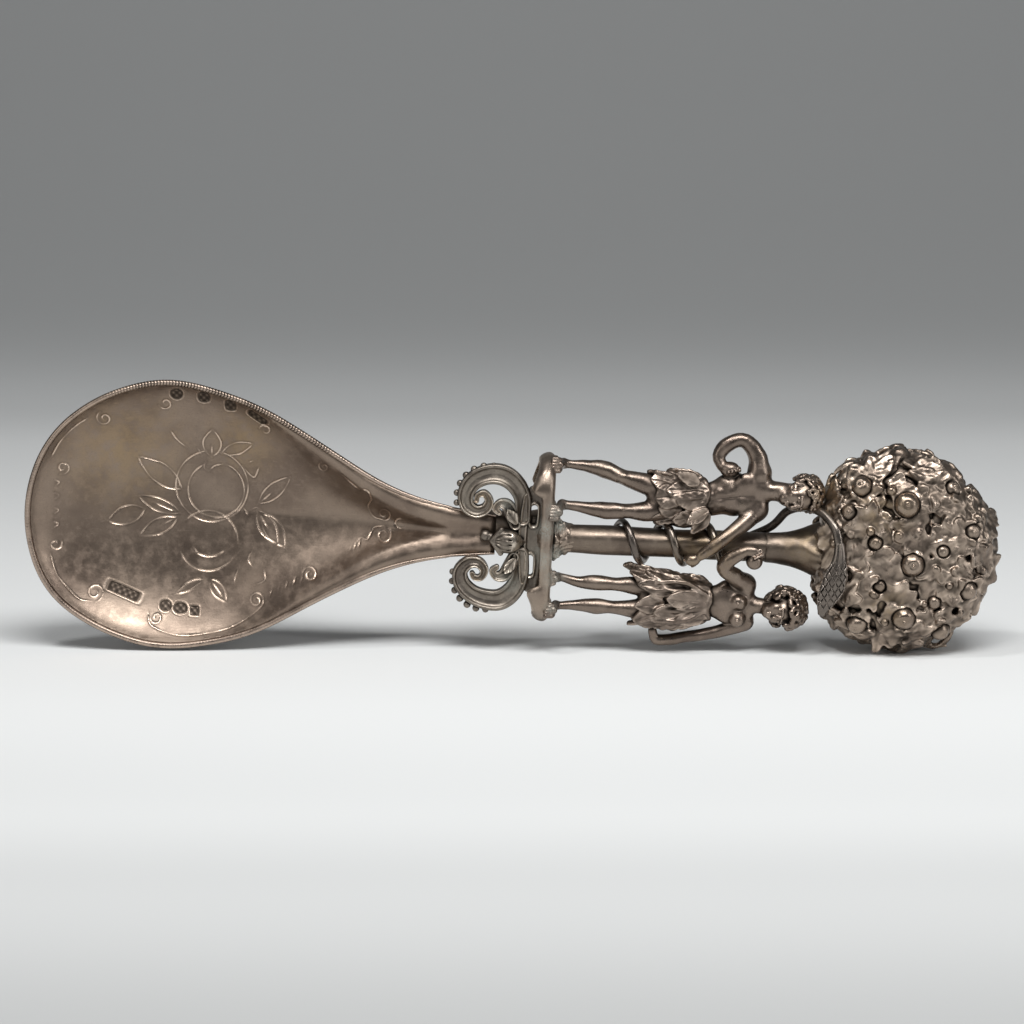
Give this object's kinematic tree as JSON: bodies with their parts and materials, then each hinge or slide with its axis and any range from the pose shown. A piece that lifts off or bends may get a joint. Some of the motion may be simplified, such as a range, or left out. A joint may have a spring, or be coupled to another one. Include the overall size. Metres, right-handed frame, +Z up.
{
  "type": "figural spoon",
  "caption": "Cast and engraved silver spoon with a fig-shaped bowl, scroll mount, platform with two figures beside a serpent-wound trunk, and a fruiting crown.",
  "frame": {"origin": "on the ground under the middle of the spoon's box, with the spoon standing on its long edge", "axes": "+X along the spoon from the bowl to the crown, +Y towards the back of the bowl, +Z up, across the bowl"},
  "size_m": [0.1802, 0.0242, 0.0511],
  "materials": {
    "bowl_silver": "aged, tarnished silver",
    "rim_silver": "aged, tarnished silver",
    "mount_silver": "aged, tarnished silver",
    "platform_silver": "aged, tarnished silver",
    "trunk_silver": "aged, tarnished silver",
    "serpent_silver": "aged, tarnished silver",
    "figure_silver": "aged, tarnished silver",
    "crown_silver": "aged, tarnished silver"
  },
  "bodies": {
    "root": {"bowl": "bowl_silver", "bowl_rim": "rim_silver", "crown_back_apples": "crown_silver", "crown_back_leaves": "crown_silver", "crown_back_shell": "crown_silver", "crown_bell": "trunk_silver", "crown_front_apples": "crown_silver", "crown_front_leaves": "crown_silver", "crown_front_shell": "crown_silver", "held_apple": "figure_silver", "lower_leaf_curl": "mount_silver", "lower_scroll": "mount_silver", "lower_scroll_beads": "mount_silver", "man_apron": "figure_silver", "man_figure": "figure_silver", "man_gripping_arm": "figure_silver", "man_raised_arm": "figure_silver", "neck_bead": "mount_silver", "platform": "platform_silver", "scroll_bar": "mount_silver", "scroll_bud": "mount_silver", "serpent_coils": "serpent_silver", "serpent_head": "serpent_silver", "stem_bracket": "mount_silver", "trunk": "trunk_silver", "trunk_collar": "platform_silver", "upper_leaf_curl": "mount_silver", "upper_scroll": "mount_silver", "upper_scroll_beads": "mount_silver", "woman_figure": "figure_silver", "woman_lowered_arm": "figure_silver", "woman_raised_arm": "figure_silver", "woman_skirt": "figure_silver"}
  },
  "joints": []
}
